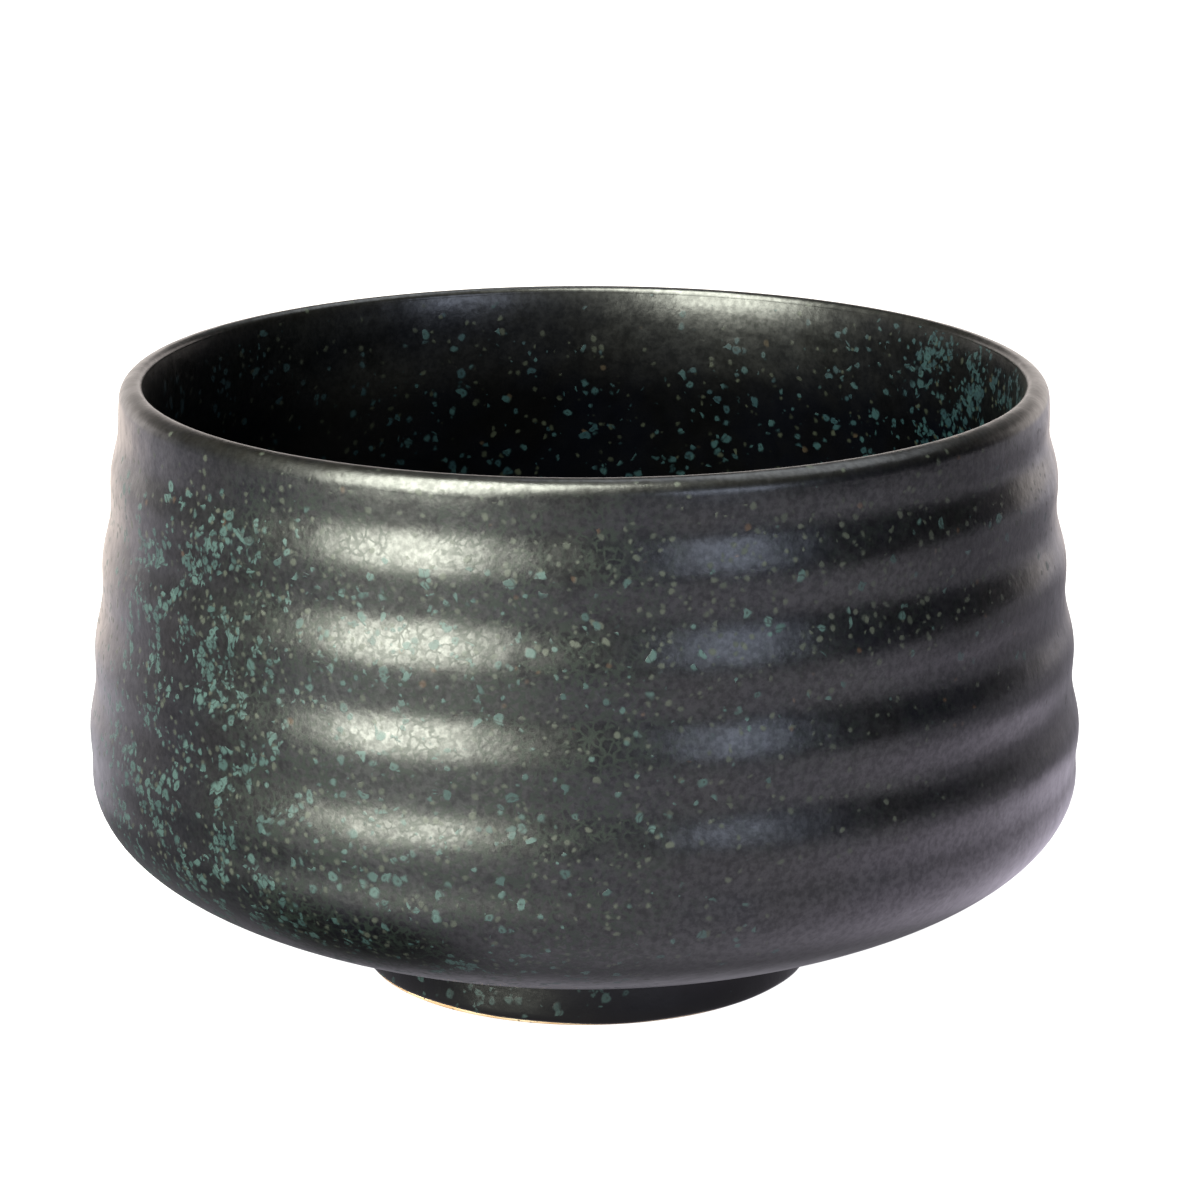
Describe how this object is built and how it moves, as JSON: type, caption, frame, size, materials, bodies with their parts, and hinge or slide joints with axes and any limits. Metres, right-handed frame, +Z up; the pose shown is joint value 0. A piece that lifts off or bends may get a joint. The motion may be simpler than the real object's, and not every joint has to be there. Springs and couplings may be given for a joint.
{
  "type": "matcha bowl",
  "caption": "Round thrown stoneware tea bowl with faint throwing rings, a rounded lip, a low foot ring and a dark flecked glaze.",
  "frame": {"origin": "centre of the foot ring's standing circle, on the surface that the bowl stands on", "axes": "+Z up along the bowl's axis of turning; +X to the right and +Y away as the bowl is looked at from its front"},
  "size_m": [0.1198, 0.1198, 0.0728],
  "materials": {
    "bare_clay": "matt, fine-grained, unglazed fired stoneware",
    "outer_glaze": "satin charcoal glaze with teal and straw-coloured flecks",
    "inner_glaze": "smooth glossy black glaze with sparse teal flecks"
  },
  "bodies": {
    "root": {"clay_bowl": "bare_clay", "foot_ring": "bare_clay", "outer_glaze": "outer_glaze", "inner_glaze": "inner_glaze", "recess_glaze": "outer_glaze"}
  },
  "joints": []
}
